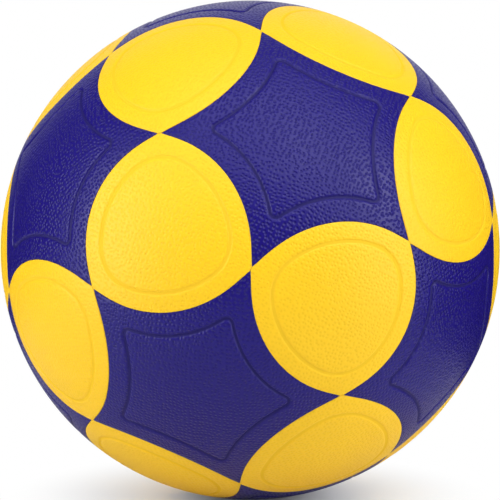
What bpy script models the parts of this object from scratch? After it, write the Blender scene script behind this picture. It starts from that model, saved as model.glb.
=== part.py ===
"""Korfball ball: 32 moulded panels glued over a casing, a winding and a bladder with its valve.

The panels follow an icosahedron: a purple five-pointed panel round each of its 12 corners and a
yellow rounded triangle over each of its 20 faces. Metres, +Z up, origin at the ball's centre.
"""

import math
from dataclasses import dataclass

import bmesh
import bpy
from mathutils import Matrix, Vector
from mathutils.geometry import closest_point_on_tri

# Ball and layers, from the outside in
BALL_DIAMETER = 0.220
PANEL_THICKNESS = 0.0016
CASING_THICKNESS = 0.0008
WINDING_THICKNESS = 0.0005
BLADDER_THICKNESS = 0.0008
LAYER_GAP = 0.0003
SEAM_GAP = 0.0003

# Seam between a yellow and a purple panel: an arc on the ball that flares into a neck at both ends
SEAM_REACH = math.radians(17.67)
SEAM_BOW = math.radians(25.06)
NECK_WIDTH = 0.0015
NECK_FLARE = 0.004

# Groove pressed into each panel, along its seam, shallower in the yellow panels
GROOVE_WIDTH = 0.0024
YELLOW_GROOVE_DEPTH = 0.0003
PURPLE_GROOVE_DEPTH = 0.0006
YELLOW_GROOVE_INSET = 0.0079
PURPLE_GROOVE_INSET = 0.0100
YELLOW_CORNER_EASE = 0.0072
PURPLE_CORNER_EASE = 0.0100
TANGENT_STEP = math.radians(0.1)

# Valve
VALVE_RECESS = 0.0006
VALVE_NECK_DIAMETER = 0.0100
VALVE_BORE_DIAMETER = 0.0056
VALVE_FLANGE_DIAMETER = 0.0300
VALVE_FLANGE_THICKNESS = 0.0012
VALVE_BOSS_DIAMETER = 0.0130
VALVE_BOSS_LENGTH = 0.0100
VALVE_CLEARANCE = 0.0003
NEEDLE_DIAMETER = 0.0020
NEEDLE_DEPTH = 0.0110
CORE_BARB_DIAMETER = 0.0084
CORE_BARB_LENGTH = 0.0030

# Pose on the shelf: where the valve points, and the turn of the ball about it
VALVE_HEADING = math.radians(76.5)
VALVE_TILT = math.radians(62.3)
VALVE_SPIN = math.radians(26.8)

# Facets
SIDE_STEPS = 6
YELLOW_INNER_ROWS = 1
PURPLE_INNER_ROWS = 2
SHELL_STEPS = 20
SHELL_ROWS = 10
VALVE_STEPS = 16
SHARP_ANGLE = math.radians(40)
MERGE_DISTANCE = 0.00001

# Colours and roughnesses
YELLOW = (0.97, 0.67, 0.016)
PURPLE = (0.0145, 0.0070, 0.20)
CASING_CREAM = (0.72, 0.68, 0.55)
NYLON_WHITE = (0.80, 0.80, 0.78)
BUTYL_BLACK = (0.02, 0.02, 0.02)
VALVE_BLACK = (0.035, 0.035, 0.04)
LEATHER_ROUGHNESS = 0.40
CASING_ROUGHNESS = 0.70
NYLON_ROUGHNESS = 0.60
BUTYL_ROUGHNESS = 0.50
VALVE_ROUGHNESS = 0.55
CORE_ROUGHNESS = 0.45

# Angles of the icosahedron, seen from its centre
PURPLE_TO_CORNER = math.acos(1 / math.sqrt(5)) / 2
PURPLE_TO_YELLOW = math.acos(math.sqrt((5 + 2 * math.sqrt(5)) / 15))
YELLOW_TO_CORNER = math.acos(math.cos(PURPLE_TO_YELLOW) / math.cos(PURPLE_TO_CORNER))

BALL_RADIUS = BALL_DIAMETER / 2


def along_ball(length):
    """The angle that a length along the ball's surface spans."""
    return length / BALL_RADIUS


def direction(polar, azimuth):
    """The unit vector at a polar angle from +Z and an azimuth from +X."""
    return Vector(
        (
            math.sin(polar) * math.cos(azimuth),
            math.sin(polar) * math.sin(azimuth),
            math.cos(polar),
        )
    )


def tangent(start, end):
    """The unit vector at start that points along the ball to end."""
    return (end - start * start.dot(end)).normalized()


@dataclass(frozen=True)
class PanelKind:
    """One kind of panel, with its centre on +Z and a corner towards +X."""

    name: str
    sides: int
    to_corner: float
    to_side: float
    to_bow_centre: float
    outward: int
    groove_inset: float
    groove_bow: float
    groove_depth: float
    corner_ease: float
    inner_rows: int

    def side_azimuth(self, side):
        return (side + 0.5) * 2 * math.pi / self.sides

    def bow_centre(self, side):
        """The centre of a side's arc: behind a yellow panel's own centre, beyond a purple one's edge."""
        return direction(self.to_bow_centre, self.side_azimuth(side))


BOW_OFFSET = SEAM_BOW - SEAM_REACH
YELLOW_PANEL = PanelKind(
    name="yellow",
    sides=3,
    to_corner=YELLOW_TO_CORNER,
    to_side=SEAM_REACH,
    to_bow_centre=-BOW_OFFSET,
    outward=1,
    groove_inset=YELLOW_GROOVE_INSET,
    groove_bow=SEAM_BOW - along_ball(YELLOW_GROOVE_INSET),
    groove_depth=YELLOW_GROOVE_DEPTH,
    corner_ease=YELLOW_CORNER_EASE,
    inner_rows=YELLOW_INNER_ROWS,
)
PURPLE_PANEL = PanelKind(
    name="purple",
    sides=5,
    to_corner=PURPLE_TO_CORNER,
    to_side=PURPLE_TO_YELLOW - SEAM_REACH,
    to_bow_centre=PURPLE_TO_YELLOW + BOW_OFFSET,
    outward=-1,
    groove_inset=PURPLE_GROOVE_INSET,
    groove_bow=SEAM_BOW,
    groove_depth=PURPLE_GROOVE_DEPTH,
    corner_ease=PURPLE_CORNER_EASE,
    inner_rows=PURPLE_INNER_ROWS,
)


def seam_end():
    """Radius and half sweep of a seam at its neck, about the centre of its arc."""
    corner = direction(YELLOW_TO_CORNER, 0)
    purple_centre = direction(PURPLE_TO_YELLOW, YELLOW_PANEL.side_azimuth(0))
    half_neck = along_ball(NECK_WIDTH / 2)
    neck = corner * math.cos(half_neck) + tangent(corner, purple_centre) * math.sin(half_neck)
    centre = YELLOW_PANEL.bow_centre(0)
    return centre.angle(neck), tangent(centre, purple_centre).angle(tangent(centre, neck))


def seam_radius(sweep):
    """Radius of a seam about the centre of its arc: the bow, and its flare towards the neck."""
    end_radius, end_sweep = seam_end()
    to_neck = (end_sweep - abs(sweep)) * math.sin(SEAM_BOW)
    return SEAM_BOW + (end_radius - SEAM_BOW) * math.exp(-to_neck / along_ball(NECK_FLARE))


def side_points(kind, side, sweeps):
    """Points of one side of a panel, set back from the seam by half the seam gap."""
    centre = kind.bow_centre(side)
    ahead = tangent(centre, direction(kind.to_side, kind.side_azimuth(side)))
    across = centre.cross(ahead)
    points = []
    for sweep in sweeps:
        radius = seam_radius(sweep) - kind.outward * along_ball(SEAM_GAP / 2)
        heading = ahead * math.cos(sweep) + across * math.sin(sweep)
        points.append(centre * math.cos(radius) + heading * math.sin(radius))
    return points


def outline(kind):
    """The panel's edge as (polar, azimuth) pairs in order round the panel."""
    end_sweep = seam_end()[1]
    sweeps = [end_sweep * (2 * step / SIDE_STEPS - 1) for step in range(SIDE_STEPS + 1)]
    edge = []
    for side in range(kind.sides):
        if kind is YELLOW_PANEL:
            points = side_points(kind, side, sweeps)
        else:
            tip = kind.to_corner - along_ball(NECK_WIDTH / 2 + SEAM_GAP)
            points = side_points(kind, side, sweeps[1:-1])
            points.append(direction(tip, side * 2 * math.pi / kind.sides))
        edge += [(point.angle(Vector((0, 0, 1))), math.atan2(point.y, point.x)) for point in points]
    return sorted(edge, key=lambda place: place[1])


def reach_to_arc(kind, side, azimuth):
    """Polar angle at which a heading from the panel's centre meets one side of the groove."""
    to_centre = kind.to_side - along_ball(kind.groove_inset) - kind.outward * kind.groove_bow
    centre = direction(to_centre, kind.side_azimuth(side))
    forward = centre.x * math.cos(azimuth) + centre.y * math.sin(azimuth)
    span = math.hypot(centre.z, forward)
    cosine = math.cos(kind.groove_bow) / span
    if cosine > 1:
        return math.inf
    return math.atan2(forward, centre.z) + kind.outward * math.acos(cosine)


def groove_middle(kind, azimuth):
    """The middle of the groove at an azimuth. Where two sides meet, the corner is eased."""
    reaches = [reach_to_arc(kind, side, azimuth) for side in range(kind.sides)]
    nearest, second = sorted(reach for reach in reaches if reach > 0)[:2]
    ease = along_ball(kind.corner_ease)
    overlap = max(0, 1 - (second - nearest) / ease)
    return direction(nearest - ease * overlap**2 / 4, azimuth)


def beside_groove(kind, azimuth, offset):
    """A point that lies square to the groove's middle, moved out by offset."""
    middle = groove_middle(kind, azimuth)
    along = groove_middle(kind, azimuth + TANGENT_STEP) - groove_middle(kind, azimuth - TANGENT_STEP)
    outward = along.cross(middle).normalized()
    shift = along_ball(offset)
    return middle * math.cos(shift) + outward * math.sin(shift)


def panel_rings(kind, hole_radius):
    """Rings from the middle of a panel's outer face, over its edge, to the middle of its inner face."""
    edge = outline(kind)
    inner_radius = BALL_RADIUS - PANEL_THICKNESS
    top = Vector((0, 0, 1))

    def groove_ring(depth, offset):
        points = [beside_groove(kind, azimuth, offset) for _, azimuth in edge]
        return [point * (BALL_RADIUS - depth) for point in points]

    def edge_ring(radius, share):
        return [direction(polar * share, azimuth) * radius for polar, azimuth in edge]

    groove_inside = groove_ring(0, -GROOVE_WIDTH / 2)
    rings = [
        [top.slerp(point.normalized(), 0.5) * BALL_RADIUS for point in groove_inside],
        groove_inside,
        groove_ring(kind.groove_depth, 0),
        groove_ring(0, GROOVE_WIDTH / 2),
        edge_ring(BALL_RADIUS, 1),
        edge_ring(inner_radius, 1),
    ]
    for row in range(kind.inner_rows):
        rings.append(edge_ring(inner_radius, 1 - (row + 1) / (kind.inner_rows + 1)))
    if hole_radius:
        for radius, place in ((BALL_RADIUS, 0), (inner_radius, len(rings) + 1)):
            hole_polar = math.asin(hole_radius / radius)
            rings.insert(place, [direction(hole_polar, azimuth) * radius for _, azimuth in edge])
    return rings


def panel_mesh(kind, hole_radius=0.0):
    """A closed skin lofted through the panel's rings, with a fan at each end or a hole through the middle."""
    body = bmesh.new()
    rings = [[body.verts.new(point) for point in ring] for ring in panel_rings(kind, hole_radius)]
    pairs = list(zip(rings, rings[1:]))
    if hole_radius:
        pairs.append((rings[-1], rings[0]))
    count = len(rings[0])
    for first, second in pairs:
        for here in range(count):
            after = (here + 1) % count
            body.faces.new((first[here], first[after], second[after], second[here]))
    if not hole_radius:
        for ring, radius in ((rings[0], BALL_RADIUS), (rings[-1], BALL_RADIUS - PANEL_THICKNESS)):
            middle = body.verts.new((0, 0, radius))
            for here in range(count):
                body.faces.new((ring[here], ring[(here + 1) % count], middle))
    bmesh.ops.triangulate(body, faces=body.faces[:])
    bmesh.ops.recalc_face_normals(body, faces=body.faces[:])
    mesh = bpy.data.meshes.new(f"{kind.name}_panel")
    body.to_mesh(mesh)
    body.free()
    mesh.shade_smooth()
    mesh.set_sharp_from_angle(angle=SHARP_ANGLE)
    return mesh


def least_inner_radius(mesh):
    """How near to the ball's centre the facets of a panel come."""
    centre = Vector((0, 0, 0))
    triangles = [[mesh.vertices[index].co for index in face.vertices] for face in mesh.polygons]
    return min(closest_point_on_tri(centre, *triangle).length for triangle in triangles)


def principled(name, colour, roughness):
    """A plain Principled BSDF material."""
    material = bpy.data.materials.new(name)
    material.use_nodes = True
    shader = material.node_tree.nodes["Principled BSDF"]
    shader.inputs["Base Color"].default_value = (*colour, 1)
    shader.inputs["Roughness"].default_value = roughness
    shader.inputs["Metallic"].default_value = 0
    return material


def add_piece(name, mesh, material, collection, ball):
    """A named object of the ball, which turns with it."""
    if not mesh.materials:
        mesh.materials.append(material)
    piece = bpy.data.objects.new(name, mesh)
    collection.objects.link(piece)
    piece.parent = ball
    piece.rotation_mode = "QUATERNION"
    return piece


def panel_turn(centre, corner):
    """The rotation that brings a panel's own +Z to centre and its +X towards corner."""
    ahead = tangent(centre, corner)
    return Matrix((ahead, centre.cross(ahead), centre)).transposed().to_quaternion()


def add_panels(collection, ball, valve_hole_radius):
    """All 32 panels, laid out on an icosahedron whose top corner carries the valve. Returns their meshes."""
    yellow = principled("yellow_cover", YELLOW, LEATHER_ROUGHNESS)
    purple = principled("purple_cover", PURPLE, LEATHER_ROUGHNESS)
    yellow_mesh = panel_mesh(YELLOW_PANEL)
    purple_mesh = panel_mesh(PURPLE_PANEL)
    valve_mesh = panel_mesh(PURPLE_PANEL, valve_hole_radius)
    layout = bmesh.new()
    bmesh.ops.create_icosphere(layout, subdivisions=1, radius=1)
    faces = sorted(layout.faces, key=lambda face: -face.calc_center_median().z)
    for number, face in enumerate(faces, 1):
        piece = add_piece(f"yellow_panel_{number:02d}", yellow_mesh, yellow, collection, ball)
        first, second = face.edges[0].verts
        corner = (first.co + second.co).normalized()
        piece.rotation_quaternion = panel_turn(face.calc_center_median().normalized(), corner)
    verts = sorted(layout.verts, key=lambda vert: -vert.co.z)
    for number, vert in enumerate(verts):
        name = f"purple_panel_{number:02d}" if number else "valve_panel"
        piece = add_piece(name, purple_mesh if number else valve_mesh, purple, collection, ball)
        neighbour = vert.link_edges[0].other_vert(vert)
        corner = (vert.co + neighbour.co).normalized()
        piece.rotation_quaternion = panel_turn(vert.co.normalized(), corner)
    layout.free()
    return yellow_mesh, purple_mesh, valve_mesh


def turned_mesh(name, profile, closed):
    """A profile of (radius, height) points beside +Z, run down its outer side."""
    mesh = bpy.data.meshes.new(name)
    count = len(profile)
    edges = [(here, (here + 1) % count) for here in range(count if closed else count - 1)]
    mesh.from_pydata([(radius, 0, height) for radius, height in profile], edges, [])
    return mesh


def turn(piece, steps):
    """A full turn of the piece's profile about the ball's own +Z."""
    screw = piece.modifiers.new("turn", "SCREW")
    screw.axis = "Z"
    screw.steps = steps
    screw.render_steps = steps
    screw.use_merge_vertices = True
    screw.merge_threshold = MERGE_DISTANCE
    screw.use_smooth_shade = True


def on_sphere(radius, polar):
    return radius * math.sin(polar), radius * math.cos(polar)


def shell_profile(outer_radius, thickness, hole_radius, seat_polar):
    """Half section of a hollow ball with a hole at its top, and a row of points at seat_polar."""
    rows = [seat_polar + (math.pi - seat_polar) * row / SHELL_ROWS for row in range(SHELL_ROWS)]

    def arc(radius):
        hole_polar = math.asin(hole_radius / radius)
        return [on_sphere(radius, polar) for polar in (hole_polar, *rows)] + [(0, -radius)]

    return arc(outer_radius - thickness)[::-1] + arc(outer_radius)


def housing_profile(bladder_radius):
    """Section of the valve body: neck, flange under the bladder, boss, and a bore for the core."""
    face = BALL_RADIUS - VALVE_RECESS
    neck = VALVE_NECK_DIAMETER / 2
    rim = VALVE_FLANGE_DIAMETER / 2
    boss = VALVE_BOSS_DIAMETER / 2
    bore = VALVE_BORE_DIAMETER / 2
    seat = bladder_radius - LAYER_GAP

    def height(radius, depth):
        return math.sqrt((seat - depth) ** 2 - radius**2)

    foot = seat - VALVE_FLANGE_THICKNESS - VALVE_BOSS_LENGTH
    return [
        (neck, face),
        (neck, height(neck, 0)),
        (rim, height(rim, 0)),
        (rim, height(rim, VALVE_FLANGE_THICKNESS)),
        (boss, height(boss, VALVE_FLANGE_THICKNESS)),
        (boss, foot),
        (bore, foot),
        (bore, face),
    ], foot


def core_profile(foot):
    """Half section of the valve plug: a needle channel from the face, and a barb behind the boss."""
    face = BALL_RADIUS - VALVE_RECESS
    needle = NEEDLE_DIAMETER / 2
    plug = VALVE_BORE_DIAMETER / 2 - VALVE_CLEARANCE
    barb = CORE_BARB_DIAMETER / 2
    shoulder = foot - VALVE_CLEARANCE
    return [
        (0, face - NEEDLE_DEPTH),
        (needle, face - NEEDLE_DEPTH),
        (needle, face),
        (plug, face),
        (plug, shoulder),
        (barb, shoulder),
        (needle, shoulder - CORE_BARB_LENGTH),
        (0, shoulder - CORE_BARB_LENGTH),
    ]


def add_layers(collection, ball, casing_radius, hole_radius):
    """Casing, winding and bladder, a layer gap apart. Returns the bladder's inner radius."""
    layers = (
        ("casing", CASING_THICKNESS, principled("casing_rubber", CASING_CREAM, CASING_ROUGHNESS)),
        ("winding", WINDING_THICKNESS, principled("winding_nylon", NYLON_WHITE, NYLON_ROUGHNESS)),
        ("bladder", BLADDER_THICKNESS, principled("bladder_butyl", BUTYL_BLACK, BUTYL_ROUGHNESS)),
    )
    radius = casing_radius
    for name, thickness, material in layers:
        seat_polar = math.asin(VALVE_FLANGE_DIAMETER / 2 / radius)
        profile = shell_profile(radius, thickness, hole_radius, seat_polar)
        mesh = turned_mesh(name, profile, closed=False)
        turn(add_piece(name, mesh, material, collection, ball), SHELL_STEPS)
        inner_radius = radius - thickness
        radius = inner_radius - LAYER_GAP
    return inner_radius


def add_valve(collection, ball, bladder_radius):
    """The valve housing and its core, on the ball's own +Z."""
    rubber = principled("valve_rubber", VALVE_BLACK, VALVE_ROUGHNESS)
    plug = principled("core_rubber", VALVE_BLACK, CORE_ROUGHNESS)
    section, foot = housing_profile(bladder_radius)
    housing = turned_mesh("valve_housing", section, closed=True)
    turn(add_piece("valve_housing", housing, rubber, collection, ball), VALVE_STEPS)
    core = turned_mesh("valve_core", core_profile(foot), closed=False)
    turn(add_piece("valve_core", core, plug, collection, ball), VALVE_STEPS)


def main():
    for old in list(bpy.data.objects):
        bpy.data.objects.remove(old, do_unlink=True)
    collection = bpy.data.collections.new("korfball_ball")
    bpy.context.scene.collection.children.link(collection)
    ball = bpy.data.objects.new("ball_centre", None)
    collection.objects.link(ball)
    pose = Matrix.Rotation(VALVE_HEADING, 3, "Z") @ Matrix.Rotation(VALVE_TILT, 3, "Y")
    ball.rotation_mode = "QUATERNION"
    ball.rotation_quaternion = (pose @ Matrix.Rotation(VALVE_SPIN, 3, "Z")).to_quaternion()
    hole_radius = VALVE_NECK_DIAMETER / 2 + VALVE_CLEARANCE
    meshes = add_panels(collection, ball, hole_radius)
    casing_radius = min(least_inner_radius(mesh) for mesh in meshes) - LAYER_GAP
    bladder_radius = add_layers(collection, ball, casing_radius, hole_radius)
    add_valve(collection, ball, bladder_radius)


main()
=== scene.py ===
"""Looks of the korfball ball: fine grooved leather panels, a moulded valve, and plain studio light.

Metres, +Z up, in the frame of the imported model. The panels repeat the model's own geometry with fine steps.
"""

import math
from dataclasses import dataclass

import bmesh
import bpy
from mathutils import Matrix, Vector


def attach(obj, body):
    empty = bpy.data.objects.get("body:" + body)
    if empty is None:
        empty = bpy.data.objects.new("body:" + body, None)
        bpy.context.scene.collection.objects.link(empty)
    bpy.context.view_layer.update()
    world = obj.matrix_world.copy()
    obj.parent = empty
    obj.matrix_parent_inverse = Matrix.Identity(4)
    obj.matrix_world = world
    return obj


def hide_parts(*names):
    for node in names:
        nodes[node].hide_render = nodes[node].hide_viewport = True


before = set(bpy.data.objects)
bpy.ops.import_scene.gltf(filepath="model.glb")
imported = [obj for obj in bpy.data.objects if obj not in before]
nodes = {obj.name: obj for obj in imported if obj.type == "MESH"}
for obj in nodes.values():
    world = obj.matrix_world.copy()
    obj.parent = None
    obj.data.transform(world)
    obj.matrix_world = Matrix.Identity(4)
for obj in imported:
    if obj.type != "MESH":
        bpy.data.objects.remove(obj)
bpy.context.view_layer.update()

# Ball, as modelled
BALL_RADIUS = max(vertex.co.length for vertex in nodes["yellow_panel_01"].data.vertices)
PANEL_THICKNESS = 0.0016
SEAM_REACH = math.radians(17.67)
SEAM_BOW = math.radians(25.06)
NECK_WIDTH = 0.0015
NECK_FLARE = 0.004
GROOVE_WIDTH = 0.0024
YELLOW_GROOVE_DEPTH = 0.0003
PURPLE_GROOVE_DEPTH = 0.0006
YELLOW_GROOVE_INSET = 0.0079
PURPLE_GROOVE_INSET = 0.0100
YELLOW_CORNER_EASE = 0.0072
PURPLE_CORNER_EASE = 0.0100

# Fine finish of the panels: groove walls and lip in half widths, the shoulder as a share of the depth
SEAM_GAP = 0.00008
EDGE_ROUND = 0.00022
TIP_SETBACK = 2
YELLOW_GROOVE_WALL = 0.65
PURPLE_GROOVE_WALL = 0.75
GROOVE_LIP = 1.8
GROOVE_SHOULDER = 0.16
TANGENT_STEP = math.radians(0.1)
FAN_RADIUS = 0.0017

# Valve
VALVE_RECESS = 0.0006
VALVE_NECK_DIAMETER = 0.0100
VALVE_BORE_DIAMETER = 0.0056
VALVE_FLANGE_DIAMETER = 0.0300
VALVE_FLANGE_THICKNESS = 0.0012
VALVE_BOSS_DIAMETER = 0.0130
VALVE_BOSS_LENGTH = 0.0100
VALVE_CLEARANCE = 0.0003
VALVE_ROUND = 0.0004
VALVE_SHARP_ANGLE = math.radians(50)
NEEDLE_DIAMETER = 0.0020
NEEDLE_DEPTH = 0.0110
CORE_BARB_DIAMETER = 0.0084
CORE_BARB_LENGTH = 0.0030
LAYER_GAP = 0.0003

# Steps of the fine meshes
SIDE_STEPS = 40
CROWN_STEPS = 9
GROOVE_STEPS = 30
BAND_STEPS = 4
EDGE_STEPS = 3
INNER_STEPS = 5
VALVE_STEPS = 64
ROUND_STEPS = 4
FLOOR_STEPS = 64
MERGE_DISTANCE = 0.000001

# Leather grain, with painted shade that darkens the colour in the pores and the pressed groove. Shadings and
# changes are shares, from 0 to 1
PORE_SPACING = 0.0017
PORE_SCATTER = 0.64
PORE_DRIFT = 0.0025
PORE_DRIFT_SIZE = 0.014
PORE_REACH = 0.5
PORE_PAINTED_SHADE = 0.4
GROOVE_GRAIN = 0.1
GROOVE_PAINTED_SHADE = 0.72
GROOVE_SHADE_FROM = 0.45
TONE_SIZE = 0.03
TONE_CHANGE = 0.05
TONE_RANGE = (0.3, 0.7)
NOISE_DETAIL = 2.0
LEATHER_SPECULAR = 0.275
HOLLOW_ROUGHENING = 0.38


@dataclass(frozen=True)
class Leather:
    """A leather: its colour, the share of that colour which painted shade leaves in its pores and groove
    (also the darker end of its random tone), its roughness and the depth of its pores.
    """

    name: str
    colour: tuple
    painted_shade_and_tone: float
    roughness: float
    pore_depth: float


YELLOW_LEATHER = Leather(
    name="yellow_leather",
    colour=(0.95, 0.581, 0.0120),
    painted_shade_and_tone=0.89,
    roughness=0.43,
    pore_depth=0.00012,
)
PURPLE_LEATHER = Leather(
    name="purple_leather",
    colour=(0.0100, 0.0044, 0.167),
    painted_shade_and_tone=0.50,
    roughness=0.34,
    pore_depth=0.00024,
)

# Rubber of the valve, the casing and the bladder
RUBBER_MOTTLE_SIZE = 0.004
RUBBER_MOTTLE_SHADE = 0.7
RUBBER_MOTTLE_ROUGHNESS = 0.08
RUBBER_SKIN_SIZE = 0.0003
RUBBER_SKIN_DEPTH = 0.00003
VALVE_COLOUR = (0.035, 0.035, 0.04)
HOUSING_ROUGHNESS = 0.5
CORE_ROUGHNESS = 0.42
CASING_COLOUR = (0.72, 0.68, 0.55)
CASING_ROUGHNESS = 0.7
BLADDER_COLOUR = (0.02, 0.02, 0.02)
BLADDER_ROUGHNESS = 0.5

# Wound thread. This scale gives a wave about every 2 mm
THREAD_COLOUR = (0.80, 0.80, 0.78)
THREAD_SCALE = 160
THREAD_WANDER = 0.6
THREAD_DETAIL = 1
THREAD_DEPTH = 0.0003
THREAD_ROUGHNESS = 0.5
THREAD_GAP_PAINTED_SHADE = 0.55
THREAD_GAP_ROUGHNESS = 0.7

# Soft light: the far side is a white backdrop, and the rest of the room is dim
ROOM_LIGHT = 0.01
BACKDROP_TOWARD = (0, 0.5, -0.87)
BACKDROP_EDGE = (0.78, 0.95)
WHITE = (1, 1, 1, 1)
LAMP_DISTANCE = 1.3


@dataclass(frozen=True)
class Softbox:
    """A soft lamp: its direction as the photograph's right, up and near, its size, and its power in watts.

    The ball's gloss shows the lamp only where mirrored is true.
    """

    name: str
    toward: tuple
    width: float
    height: float
    power: float
    mirrored: bool = True


SOFTBOXES = (
    Softbox("front_softbox", (0, 0.75, 0.66), 1.2, 1.0, 8.0),
    Softbox("upper_right_softbox", (0.6, 0.55, 0.58), 1.0, 1.0, 6.9),
    Softbox("left_softbox", (-0.9, 0.1, 0.42), 0.6, 1.4, 16.6),
    Softbox("right_softbox", (0.9, 0.1, 0.42), 0.6, 1.4, 11.2),
    Softbox("top_softbox", (0, 0.97, 0.25), 1.4, 0.5, 3.5),
    Softbox("back_softbox", (0, 0.1, -0.99), 1.0, 0.8, 13.0, mirrored=False),
)

# Floor: it reaches less far to the right, so that the ball's right rim mirrors the dim room
FLOOR_RADIUS = 0.34
FLOOR_CENTRE = (-0.12, -0.07, 0)
FLOOR_COLOUR = (0.78, 0.78, 0.78, 1)
FLOOR_ROUGHNESS = 0.9
SHADOW_FADE = (0.0, 0.11)

# Camera: 5 degrees above the ball's middle, at nine ball radii
CAMERA_ELEVATION = math.radians(5)
CAMERA_DISTANCE = 9.0 * BALL_RADIUS
SENSOR_WIDTH = 36
IMAGE_SIZE = 500
BALL_IMAGE_RADIUS = 249.6
BALL_IMAGE_CENTRE = (250.2, 250.1)

# Angles of the icosahedron, seen from its centre
PURPLE_TO_CORNER = math.acos(1 / math.sqrt(5)) / 2
PURPLE_TO_YELLOW = math.acos(math.sqrt((5 + 2 * math.sqrt(5)) / 15))
YELLOW_TO_CORNER = math.acos(math.cos(PURPLE_TO_YELLOW) / math.cos(PURPLE_TO_CORNER))


def along_ball(length):
    """The angle that a length along the ball's surface spans."""
    return length / BALL_RADIUS


def direction(polar, azimuth):
    """The unit vector at a polar angle from +Z and an azimuth from +X."""
    flat = math.sin(polar)
    return Vector((flat * math.cos(azimuth), flat * math.sin(azimuth), math.cos(polar)))


def tangent(start, end):
    """The unit vector at start that points along the ball to end."""
    return (end - start * start.dot(end)).normalized()


@dataclass(frozen=True)
class PanelKind:
    """One kind of panel, with its centre on +Z and a corner towards +X."""

    name: str
    sides: int
    to_corner: float
    to_side: float
    to_bow_centre: float
    outward: int
    groove_inset: float
    groove_bow: float
    groove_depth: float
    groove_wall: float
    corner_ease: float

    def side_azimuth(self, side):
        """The azimuth of the middle of a side."""
        return (side + 0.5) * 2 * math.pi / self.sides

    def bow_centre(self, side):
        """The centre of a side's arc: behind a yellow panel's own centre, beyond a purple one's edge."""
        return direction(self.to_bow_centre, self.side_azimuth(side))


BOW_OFFSET = SEAM_BOW - SEAM_REACH
YELLOW_PANEL = PanelKind(
    name="yellow",
    sides=3,
    to_corner=YELLOW_TO_CORNER,
    to_side=SEAM_REACH,
    to_bow_centre=-BOW_OFFSET,
    outward=1,
    groove_inset=YELLOW_GROOVE_INSET,
    groove_bow=SEAM_BOW - along_ball(YELLOW_GROOVE_INSET),
    groove_depth=YELLOW_GROOVE_DEPTH,
    groove_wall=YELLOW_GROOVE_WALL,
    corner_ease=YELLOW_CORNER_EASE,
)
PURPLE_PANEL = PanelKind(
    name="purple",
    sides=5,
    to_corner=PURPLE_TO_CORNER,
    to_side=PURPLE_TO_YELLOW - SEAM_REACH,
    to_bow_centre=PURPLE_TO_YELLOW + BOW_OFFSET,
    outward=-1,
    groove_inset=PURPLE_GROOVE_INSET,
    groove_bow=SEAM_BOW,
    groove_depth=PURPLE_GROOVE_DEPTH,
    groove_wall=PURPLE_GROOVE_WALL,
    corner_ease=PURPLE_CORNER_EASE,
)


def seam_end():
    """Radius and half sweep of a seam at its neck, about the centre of its arc."""
    corner = direction(YELLOW_TO_CORNER, 0)
    purple_centre = direction(PURPLE_TO_YELLOW, YELLOW_PANEL.side_azimuth(0))
    half_neck = along_ball(NECK_WIDTH / 2)
    neck = corner * math.cos(half_neck) + tangent(corner, purple_centre) * math.sin(half_neck)
    centre = YELLOW_PANEL.bow_centre(0)
    return centre.angle(neck), tangent(centre, purple_centre).angle(tangent(centre, neck))


END_RADIUS, END_SWEEP = seam_end()


def seam_radius(sweep):
    """Radius of a seam about the centre of its arc: the bow, and its flare towards the neck."""
    to_neck = (END_SWEEP - abs(sweep)) * math.sin(SEAM_BOW)
    return SEAM_BOW + (END_RADIUS - SEAM_BOW) * math.exp(-to_neck / along_ball(NECK_FLARE))


def side_points(kind, side, sweeps, inset):
    """Unit vectors along one side of a panel, at an inset from the seam."""
    centre = kind.bow_centre(side)
    ahead = tangent(centre, direction(kind.to_side, kind.side_azimuth(side)))
    across = centre.cross(ahead)
    points = []
    for sweep in sweeps:
        radius = seam_radius(sweep) - kind.outward * along_ball(inset)
        heading = ahead * math.cos(sweep) + across * math.sin(sweep)
        points.append(centre * math.cos(radius) + heading * math.sin(radius))
    return points


def outline(kind, inset):
    """Unit vectors round the panel's edge, at an inset from the seam."""
    sweeps = [END_SWEEP * (2 * step / SIDE_STEPS - 1) for step in range(SIDE_STEPS + 1)]
    points = []
    for side in range(kind.sides):
        if kind is YELLOW_PANEL:
            points += side_points(kind, side, sweeps, inset)
        else:
            tip = kind.to_corner - along_ball(NECK_WIDTH / 2 + TIP_SETBACK * inset)
            points.append(direction(tip, side * 2 * math.pi / kind.sides))
            points += side_points(kind, side, sweeps[-2:0:-1], inset)
    return points


def reach_to_arc(kind, side, azimuth):
    """Polar angle at which a heading from the panel's centre meets a side of the groove."""
    to_centre = kind.to_side - along_ball(kind.groove_inset) - kind.outward * kind.groove_bow
    centre = direction(to_centre, kind.side_azimuth(side))
    forward = centre.x * math.cos(azimuth) + centre.y * math.sin(azimuth)
    span = math.hypot(centre.z, forward)
    cosine = math.cos(kind.groove_bow) / span
    if cosine > 1:
        return math.inf
    return math.atan2(forward, centre.z) + kind.outward * math.acos(cosine)


def groove_middle(kind, azimuth):
    """The middle of the groove at an azimuth. Where two sides meet, the corner is eased."""
    reaches = [reach_to_arc(kind, side, azimuth) for side in range(kind.sides)]
    nearest, second = sorted(reach for reach in reaches if reach > 0)[:2]
    ease = along_ball(kind.corner_ease)
    overlap = max(0, 1 - (second - nearest) / ease)
    return direction(nearest - ease * overlap**2 / 4, azimuth)


def beside_groove(kind, azimuth, offset):
    """A point that lies square to the groove's middle, moved out by offset."""
    middle = groove_middle(kind, azimuth)
    along = groove_middle(kind, azimuth + TANGENT_STEP) - groove_middle(kind, azimuth - TANGENT_STEP)
    outward = along.cross(middle).normalized()
    turn = along_ball(offset)
    return middle * math.cos(turn) + outward * math.sin(turn)


def clamped(value):
    """The value, kept between 0 and 1."""
    return min(1, max(0, value))


def groove_drop(kind, across):
    """Share of the groove's depth at a place across it: a flat bottom, a smooth wall and a soft shoulder."""
    wall = clamped((1 - abs(across)) / kind.groove_wall)
    shoulder = clamped((GROOVE_LIP - abs(across)) / (GROOVE_LIP - 1))
    return GROOVE_SHOULDER * shoulder**2 + (1 - GROOVE_SHOULDER) * wall * wall * (3 - 2 * wall)


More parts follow.
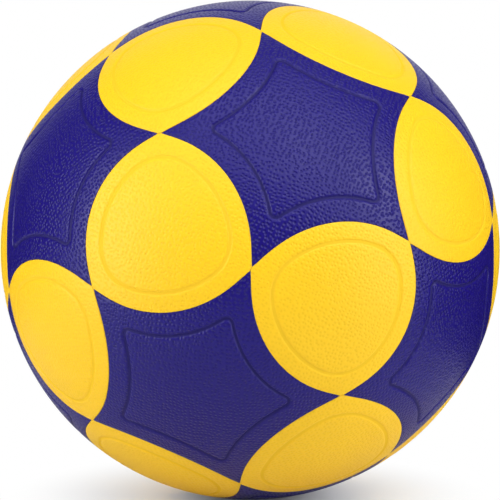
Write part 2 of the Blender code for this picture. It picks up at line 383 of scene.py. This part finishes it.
@dataclass
class Ring:
    """A ring of directions from the ball's centre, at one radius, and how deep it lies in the groove."""

    radius: float
    directions: list
    groove: float = 0.0


def spread(radius, first, second, steps):
    """Rings from first to second along the ball, both included."""
    shares = [step / steps for step in range(steps + 1)]
    return [Ring(radius, [start.slerp(end, share) for start, end in zip(first, second)]) for share in shares]


def panel_rings(kind, hole_radius):
    """Rings from the middle of a panel's outer face, over its round edge, to the middle of its inner face."""
    inner_radius = BALL_RADIUS - PANEL_THICKNESS
    edge = outline(kind, SEAM_GAP / 2 + EDGE_ROUND)
    azimuths = [math.atan2(point.y, point.x) for point in edge]
    hole_polar = along_ball(hole_radius or FAN_RADIUS)
    middle = [direction(hole_polar, azimuth) for azimuth in azimuths]

    def groove_line(across):
        """Directions along the groove at a place across it, in half widths from its middle."""
        return [beside_groove(kind, azimuth, across * GROOVE_WIDTH / 2) for azimuth in azimuths]

    rings = spread(BALL_RADIUS, middle, groove_line(-GROOVE_LIP), CROWN_STEPS)
    for step in range(1, GROOVE_STEPS):
        across = GROOVE_LIP * (2 * step / GROOVE_STEPS - 1)
        drop = groove_drop(kind, across)
        rings.append(Ring(BALL_RADIUS - kind.groove_depth * drop, groove_line(across), drop))
    rings += spread(BALL_RADIUS, groove_line(GROOVE_LIP), edge, BAND_STEPS)
    for step in range(1, EDGE_STEPS + 1):
        turn = math.pi / 2 * step / EDGE_STEPS
        inset = SEAM_GAP / 2 + EDGE_ROUND * (1 - math.sin(turn))
        rings.append(Ring(BALL_RADIUS - EDGE_ROUND * (1 - math.cos(turn)), outline(kind, inset)))
    return rings + spread(inner_radius, outline(kind, SEAM_GAP / 2), middle, INNER_STEPS)


def flat_place(point):
    """Where a direction lies on the panel when it is rolled out flat, in metres from its centre."""
    across = Vector((point.x, point.y, 0))
    if not across.length:
        return across
    return across.normalized() * math.atan2(across.length, point.z) * BALL_RADIUS


def panel_mesh(kind, name, hole_radius=0.0):
    """A closed skin lofted through the panel's rings, with a fan at each end or a hole through the middle."""
    body = bmesh.new()
    groove = body.verts.layers.float.new("groove")
    place = body.verts.layers.float_vector.new("panel_place")
    rings = panel_rings(kind, hole_radius)
    loops = []
    for ring in rings:
        loop = [body.verts.new(point * ring.radius) for point in ring.directions]
        for vert, point in zip(loop, ring.directions):
            vert[groove] = ring.groove
            vert[place] = flat_place(point)
        loops.append(loop)
    pairs = list(zip(loops, loops[1:]))
    if hole_radius:
        pairs.append((loops[-1], loops[0]))
    count = len(loops[0])
    for first, second in pairs:
        for here in range(count):
            after = (here + 1) % count
            body.faces.new((first[here], second[here], second[after], first[after]))
    if not hole_radius:
        for loop, ring in ((loops[0], rings[0]), (loops[-1], rings[-1])):
            middle = body.verts.new((0, 0, ring.radius))
            for here in range(count):
                body.faces.new((loop[here], loop[(here + 1) % count], middle))
    bmesh.ops.recalc_face_normals(body, faces=body.faces[:])
    mesh = bpy.data.meshes.new(name)
    body.to_mesh(mesh)
    body.free()
    mesh.shade_smooth()
    return mesh


def add_node(tree, kind, inputs=None, **settings):
    """A shader node with its settings. An input is a plain value or another node's output."""
    node = tree.nodes.new(kind)
    for name, value in settings.items():
        setattr(node, name, value)
    for name, value in (inputs or {}).items():
        if isinstance(value, bpy.types.NodeSocket):
            tree.links.new(value, node.inputs[name])
        else:
            node.inputs[name].default_value = value
    return node


def mapped(tree, value, low, high, start=0.0, end=1.0, smooth=False):
    """The value, taken from the range start to end and put in the range low to high."""
    ranges = {"Value": value, "From Min": start, "From Max": end, "To Min": low, "To Max": high}
    kind = "SMOOTHSTEP" if smooth else "LINEAR"
    return add_node(tree, "ShaderNodeMapRange", ranges, interpolation_type=kind).outputs["Result"]


def multiplied(tree, first, second):
    """The product of two values."""
    return add_node(tree, "ShaderNodeMath", {0: first, 1: second}, operation="MULTIPLY").outputs["Value"]


def noise(tree, place, size, detail=NOISE_DETAIL, output="Fac"):
    """Noise whose blots are about the given size."""
    inputs = {"Vector": place, "Scale": 1 / size, "Detail": detail}
    return add_node(tree, "ShaderNodeTexNoise", inputs).outputs[output]


def mixed_colour(tree, share, first, second):
    """A colour that turns from first to second."""
    inputs = {"Fac": share, "Color1": first, "Color2": second}
    return add_node(tree, "ShaderNodeMixRGB", inputs).outputs["Color"]


def new_material(name):
    """A material's node tree, its Principled shader and the place on the object in metres."""
    material = bpy.data.materials.new(name)
    material.use_nodes = True
    tree = material.node_tree
    place = add_node(tree, "ShaderNodeTexCoord").outputs["Object"]
    return material, tree, tree.nodes["Principled BSDF"], place


def link_shader(tree, shader, **links):
    """Link outputs to the shader's sockets, whose names have spaces for the underscores."""
    for name, output in links.items():
        tree.links.new(output, shader.inputs[name.replace("_", " ")])


def darkened(colour, share=1.0):
    """The colour at a share of its brightness, and opaque."""
    return (*(share * part for part in colour), 1)


def leather(finish):
    """Grained leather: painted shade darkens the colour in the pores and the pressed groove, which are also
    duller, and the groove has few pores.
    """
    material, tree, shader, place = new_material(finish.name)
    panel = add_node(tree, "ShaderNodeAttribute", attribute_name="panel_place").outputs["Vector"]
    shift = add_node(tree, "ShaderNodeObjectInfo").outputs["Random"]
    spot = add_node(tree, "ShaderNodeVectorMath", {0: panel, 1: shift}, operation="ADD").outputs["Vector"]
    drift = noise(tree, spot, PORE_DRIFT_SIZE, detail=0, output="Color")
    moved = {0: drift, 1: (PORE_DRIFT, PORE_DRIFT, 0), 2: spot}
    uneven = add_node(tree, "ShaderNodeVectorMath", moved, operation="MULTIPLY_ADD").outputs["Vector"]
    inputs = {"Vector": uneven, "Scale": 1 / PORE_SPACING, "Randomness": PORE_SCATTER}
    cells = add_node(tree, "ShaderNodeTexVoronoi", inputs, voronoi_dimensions="2D", feature="F1")
    pore = mapped(tree, cells.outputs["Distance"], 1, 0, end=PORE_REACH, smooth=True)
    groove = add_node(tree, "ShaderNodeAttribute", attribute_name="groove").outputs["Fac"]
    grain = multiplied(tree, pore, mapped(tree, groove, 1, GROOVE_GRAIN))
    bump = add_node(tree, "ShaderNodeBump", {"Height": grain, "Distance": finish.pore_depth}, invert=True)
    start, end = TONE_RANGE
    tone = mapped(tree, noise(tree, place, TONE_SIZE), 1 - TONE_CHANGE, 1, start=start, end=end)
    # Painted shade: the pores and the groove are darkened towards this colour. The random tone also dips a
    # little towards it.
    shade_and_tone_colour = darkened(finish.colour, finish.painted_shade_and_tone)
    even = mixed_colour(tree, tone, shade_and_tone_colour, darkened(finish.colour))
    # The middle of the groove gets painted shade in its colour, darkest at the bottom.
    groove_shade = mapped(tree, groove, 0, GROOVE_PAINTED_SHADE, start=GROOVE_SHADE_FROM)
    either = {0: multiplied(tree, grain, PORE_PAINTED_SHADE), 1: groove_shade}
    hollow_shade_and_dullness = add_node(tree, "ShaderNodeMath", either, operation="MAXIMUM").outputs["Value"]
    shader.inputs["Specular IOR Level"].default_value = LEATHER_SPECULAR
    link_shader(
        tree,
        shader,
        Base_Color=mixed_colour(tree, hollow_shade_and_dullness, even, shade_and_tone_colour),
        Roughness=mapped(tree, hollow_shade_and_dullness, finish.roughness, finish.roughness + HOLLOW_ROUGHENING),
        Normal=bump.outputs["Normal"],
    )
    return material


def rubber(name, colour, roughness):
    """Moulded rubber: a faint mottle and a fine matt skin."""
    material, tree, shader, place = new_material(name)
    mottle = noise(tree, place, RUBBER_MOTTLE_SIZE)
    skin = noise(tree, place, RUBBER_SKIN_SIZE)
    bump = add_node(tree, "ShaderNodeBump", {"Height": skin, "Distance": RUBBER_SKIN_DEPTH})
    smoothest = roughness - RUBBER_MOTTLE_ROUGHNESS
    roughest = roughness + RUBBER_MOTTLE_ROUGHNESS
    link_shader(
        tree,
        shader,
        Base_Color=mixed_colour(tree, mottle, darkened(colour, RUBBER_MOTTLE_SHADE), darkened(colour)),
        Roughness=mapped(tree, mottle, smoothest, roughest),
        Normal=bump.outputs["Normal"],
    )
    return material


def wound_thread(name, colour):
    """Nylon thread wound in crossing layers, with painted shade darkening the gaps between its strands."""
    material, tree, shader, place = new_material(name)
    layers = []
    for axis in ("X", "Y", "Z"):
        inputs = {
            "Vector": place,
            "Scale": THREAD_SCALE,
            "Distortion": THREAD_WANDER,
            "Detail": THREAD_DETAIL,
        }
        wave = add_node(tree, "ShaderNodeTexWave", inputs, bands_direction=axis)
        layers.append(wave.outputs["Fac"])
    thread = multiplied(tree, multiplied(tree, layers[0], layers[1]), layers[2])
    bump = add_node(tree, "ShaderNodeBump", {"Height": thread, "Distance": THREAD_DEPTH})
    link_shader(
        tree,
        shader,
        # Painted shade: the colour is darker in the gaps between strands.
        Base_Color=mixed_colour(tree, thread, darkened(colour, THREAD_GAP_PAINTED_SHADE), darkened(colour)),
        Roughness=mapped(tree, thread, THREAD_GAP_ROUGHNESS, THREAD_ROUGHNESS),
        Normal=bump.outputs["Normal"],
    )
    return material


def add_piece(name, mesh, material, slot, *replaced):
    """A piece of the ball, which stands for the model's own nodes."""
    mesh.materials.append(material)
    piece = bpy.data.objects.new(name, mesh)
    bpy.context.scene.collection.objects.link(piece)
    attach(piece, "root")
    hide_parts(*replaced)
    return piece


def panel_centre(name):
    """The direction from the ball's centre to the middle of a panel."""
    places = {tuple(vertex.co) for vertex in nodes[name].data.vertices}
    return sum((Vector(place) for place in places), Vector()).normalized()


def panel_turn(centre, corner):
    """The rotation that brings a panel's own +Z to centre and its +X towards corner."""
    ahead = tangent(centre, corner)
    return Matrix((ahead, centre.cross(ahead), centre)).transposed().to_4x4()


def add_panels(names, kind, material, slot, hole_radius=0.0):
    """A fine panel in place of each named one. Two of a colour meet half way between their centres."""
    valve_mesh = panel_mesh(kind, "valve_panel_skin", hole_radius) if hole_radius else None
    plain_mesh = panel_mesh(kind, f"{kind.name}_panel_skin")
    centres = {name: panel_centre(name) for name in names}
    for name, centre in centres.items():
        others = [other for other in centres.values() if other is not centre]
        corner = centre + max(others, key=centre.dot)
        mesh = (valve_mesh if name == "valve_panel" else plain_mesh).copy()
        mesh.transform(panel_turn(centre, corner))
        add_piece(f"{name}_leather", mesh, material, slot, name)


def rounded(corners):
    """A turned profile of (radius, height, rounding) corners, with each rounding as a smooth curve."""
    profile = []
    count = len(corners)
    for here, (radius, height, rounding) in enumerate(corners):
        place = Vector((radius, height))
        if not rounding:
            profile.append(place)
            continue
        before = (Vector(corners[here - 1][:2]) - place).normalized()
        after = (Vector(corners[(here + 1) % count][:2]) - place).normalized()
        start = place + before * rounding
        end = place + after * rounding
        for step in range(ROUND_STEPS + 1):
            share = step / ROUND_STEPS
            profile.append(start.lerp(place, share).lerp(place.lerp(end, share), share))
    return profile


def turned_mesh(name, profile, closed):
    """A full turn of a profile about +Z."""
    body = bmesh.new()
    verts = [body.verts.new((point.x, 0, point.y)) for point in profile]
    pairs = list(zip(verts, verts[1:]))
    if closed:
        pairs.append((verts[-1], verts[0]))
    edges = [body.edges.new(pair) for pair in pairs]
    bmesh.ops.spin(
        body,
        geom=verts + edges,
        cent=(0, 0, 0),
        axis=(0, 0, 1),
        angle=2 * math.pi,
        steps=VALVE_STEPS,
        use_merge=True,
    )
    bmesh.ops.remove_doubles(body, verts=body.verts[:], dist=MERGE_DISTANCE)
    bmesh.ops.recalc_face_normals(body, faces=body.faces[:])
    mesh = bpy.data.meshes.new(name)
    body.to_mesh(mesh)
    body.free()
    mesh.shade_smooth()
    mesh.set_sharp_from_angle(angle=VALVE_SHARP_ANGLE)
    return mesh


def add_valve(axis):
    """The valve housing and its core, with rounded rims, along axis."""
    seat = min(vertex.co.length for vertex in nodes["bladder"].data.vertices) - LAYER_GAP
    face = BALL_RADIUS - VALVE_RECESS
    neck = VALVE_NECK_DIAMETER / 2
    rim = VALVE_FLANGE_DIAMETER / 2
    boss = VALVE_BOSS_DIAMETER / 2
    bore = VALVE_BORE_DIAMETER / 2
    needle = NEEDLE_DIAMETER / 2
    plug = bore - VALVE_CLEARANCE / 2
    foot = seat - VALVE_FLANGE_THICKNESS - VALVE_BOSS_LENGTH
    shoulder = foot - VALVE_CLEARANCE

    def height(radius, depth):
        """How high the sphere at a depth under the seat lies, at a radius from the valve's axis."""
        return math.sqrt((seat - depth) ** 2 - radius**2)

    housing = rounded(
        [
            (neck, face, VALVE_ROUND),
            (neck, height(neck, 0), 0),
            (rim, height(rim, 0), VALVE_ROUND),
            (rim, height(rim, VALVE_FLANGE_THICKNESS), VALVE_ROUND),
            (boss, height(boss, VALVE_FLANGE_THICKNESS), VALVE_ROUND),
            (boss, foot, VALVE_ROUND),
            (bore, foot, VALVE_ROUND),
            (bore, face, VALVE_ROUND),
        ]
    )
    core = rounded(
        [
            (0, face - NEEDLE_DEPTH, 0),
            (needle, face - NEEDLE_DEPTH, 0),
            (needle, face - VALVE_ROUND, VALVE_ROUND),
            (plug, face - VALVE_ROUND, VALVE_ROUND),
            (plug, shoulder, 0),
            (CORE_BARB_DIAMETER / 2, shoulder, VALVE_ROUND),
            (needle, shoulder - CORE_BARB_LENGTH, VALVE_ROUND),
            (0, shoulder - CORE_BARB_LENGTH, 0),
        ]
    )
    upright = axis.to_track_quat("Z", "Y").to_matrix().to_4x4()
    for name, profile, closed, slot, roughness in (
        ("valve_housing", housing, True, "valve_rubber", HOUSING_ROUGHNESS),
        ("valve_core", core, False, "core_rubber", CORE_ROUGHNESS),
    ):
        mesh = turned_mesh(f"{name}_skin", profile, closed)
        mesh.transform(upright)
        add_piece(f"{name}_moulded", mesh, rubber(slot, VALVE_COLOUR, roughness), slot, name)


def dress_layers():
    """Materials of the hidden layers, which keep the model's own shapes."""
    finishes = {
        "casing": rubber("casing_rubber_finish", CASING_COLOUR, CASING_ROUGHNESS),
        "winding": wound_thread("winding_nylon_finish", THREAD_COLOUR),
        "bladder": rubber("bladder_butyl_finish", BLADDER_COLOUR, BLADDER_ROUGHNESS),
    }
    for name, finish in finishes.items():
        nodes[name].material_slots[0].material = finish


def view_direction(right, up, near):
    """A direction given as the photograph's right, up and towards the camera, in the ball's frame."""
    sine = math.sin(CAMERA_ELEVATION)
    cosine = math.cos(CAMERA_ELEVATION)
    return Vector((right, up * sine - near * cosine, up * cosine + near * sine)).normalized()


def add_camera():
    """A camera whose lens and shift put the ball's outline where the photograph has it."""
    data = bpy.data.cameras.new("camera")
    focal_pixels = BALL_IMAGE_RADIUS * math.sqrt((CAMERA_DISTANCE / BALL_RADIUS) ** 2 - 1)
    data.sensor_width = SENSOR_WIDTH
    data.lens = focal_pixels / IMAGE_SIZE * data.sensor_width
    data.shift_x = (IMAGE_SIZE / 2 - BALL_IMAGE_CENTRE[0]) / IMAGE_SIZE
    data.shift_y = (BALL_IMAGE_CENTRE[1] - IMAGE_SIZE / 2) / IMAGE_SIZE
    camera = bpy.data.objects.new("camera", data)
    bpy.context.scene.collection.objects.link(camera)
    back = view_direction(0, 0, 1)
    camera.location = back * CAMERA_DISTANCE
    camera.rotation_euler = (-back).to_track_quat("-Z", "Y").to_euler()
    bpy.context.scene.camera = camera


def add_softbox(box):
    """A flat lamp that looks at the ball."""
    data = bpy.data.lights.new(box.name, "AREA")
    data.shape = "RECTANGLE"
    data.size = box.width
    data.size_y = box.height
    data.energy = box.power
    lamp = bpy.data.objects.new(box.name, data)
    bpy.context.scene.collection.objects.link(lamp)
    toward = view_direction(*box.toward)
    lamp.location = toward * LAMP_DISTANCE
    lamp.rotation_euler = (-toward).to_track_quat("-Z", "Y").to_euler()
    lamp.visible_camera = False
    lamp.visible_glossy = box.mirrored


def whitened(tree, dim, white, share):
    """A shader that turns from dim to white."""
    return add_node(tree, "ShaderNodeMixShader", {"Fac": share, 1: dim, 2: white}).outputs["Shader"]


def add_world():
    """A dim room, white where the camera looks past the ball and where the ball mirrors the backdrop."""
    world = bpy.data.worlds.new("studio")
    world.use_nodes = True
    tree = world.node_tree
    room = tree.nodes["Background"]
    room.inputs["Color"].default_value = WHITE
    room.inputs["Strength"].default_value = ROOM_LIGHT
    white = add_node(tree, "ShaderNodeBackground", {"Color": WHITE, "Strength": 1.0})
    heading = add_node(tree, "ShaderNodeTexCoord").outputs["Generated"]
    behind = {0: heading, 1: view_direction(*BACKDROP_TOWARD)}
    aim = add_node(tree, "ShaderNodeVectorMath", behind, operation="DOT_PRODUCT").outputs["Value"]
    start, end = BACKDROP_EDGE
    backdrop = mapped(tree, aim, 0, 1, start=start, end=end, smooth=True)
    path = add_node(tree, "ShaderNodeLightPath").outputs
    mirrored = multiplied(tree, backdrop, path["Is Glossy Ray"])
    either = {0: mirrored, 1: path["Is Camera Ray"]}
    share = add_node(tree, "ShaderNodeMath", either, operation="MAXIMUM").outputs["Value"]
    surface = whitened(tree, room.outputs["Background"], white.outputs["Background"], share)
    tree.links.new(surface, tree.nodes["World Output"].inputs["Surface"])
    bpy.context.scene.world = world


def floor_paint():
    """Pale paint that shows the ball's shadow, and runs into the white backdrop farther out."""
    material, tree, shader, place = new_material("floor_paint")
    shader.inputs["Base Color"].default_value = FLOOR_COLOUR
    shader.inputs["Roughness"].default_value = FLOOR_ROUGHNESS
    shader.inputs["Specular IOR Level"].default_value = 0
    distance = add_node(tree, "ShaderNodeVectorMath", {0: place}, operation="LENGTH").outputs["Value"]
    start, end = SHADOW_FADE
    far = mapped(tree, distance, 0, 1, start=start, end=end, smooth=True)
    seen = add_node(tree, "ShaderNodeLightPath").outputs["Is Camera Ray"]
    white = add_node(tree, "ShaderNodeEmission", {"Color": WHITE, "Strength": 1.0})
    surface = whitened(tree, shader.outputs["BSDF"], white.outputs["Emission"], multiplied(tree, far, seen))
    tree.links.new(surface, tree.nodes["Material Output"].inputs["Surface"])
    return material


def add_floor():
    """A pale round floor under the ball, off to one side of its foot."""
    body = bmesh.new()
    middle = Matrix.Translation(FLOOR_CENTRE)
    bmesh.ops.create_circle(
        body, cap_ends=True, segments=FLOOR_STEPS, radius=FLOOR_RADIUS, matrix=middle
    )
    mesh = bpy.data.meshes.new("floor")
    body.to_mesh(mesh)
    body.free()
    mesh.materials.append(floor_paint())
    floor = bpy.data.objects.new("floor", mesh)
    bpy.context.scene.collection.objects.link(floor)
    floor.location.z = -BALL_RADIUS


def main():
    """Dress the ball, then light it and place the camera."""
    bpy.context.scene.view_settings.view_transform = "Standard"
    yellow_names = [name for name in nodes if name.startswith("yellow_panel")]
    purple_names = [name for name in nodes if name.startswith("purple_panel")] + ["valve_panel"]
    hole_radius = VALVE_NECK_DIAMETER / 2 + VALVE_CLEARANCE / 2
    add_panels(yellow_names, YELLOW_PANEL, leather(YELLOW_LEATHER), "yellow_cover")
    add_panels(purple_names, PURPLE_PANEL, leather(PURPLE_LEATHER), "purple_cover", hole_radius)
    add_valve(panel_centre("valve_panel"))
    dress_layers()
    add_floor()
    add_world()
    for box in SOFTBOXES:
        add_softbox(box)
    add_camera()


main()
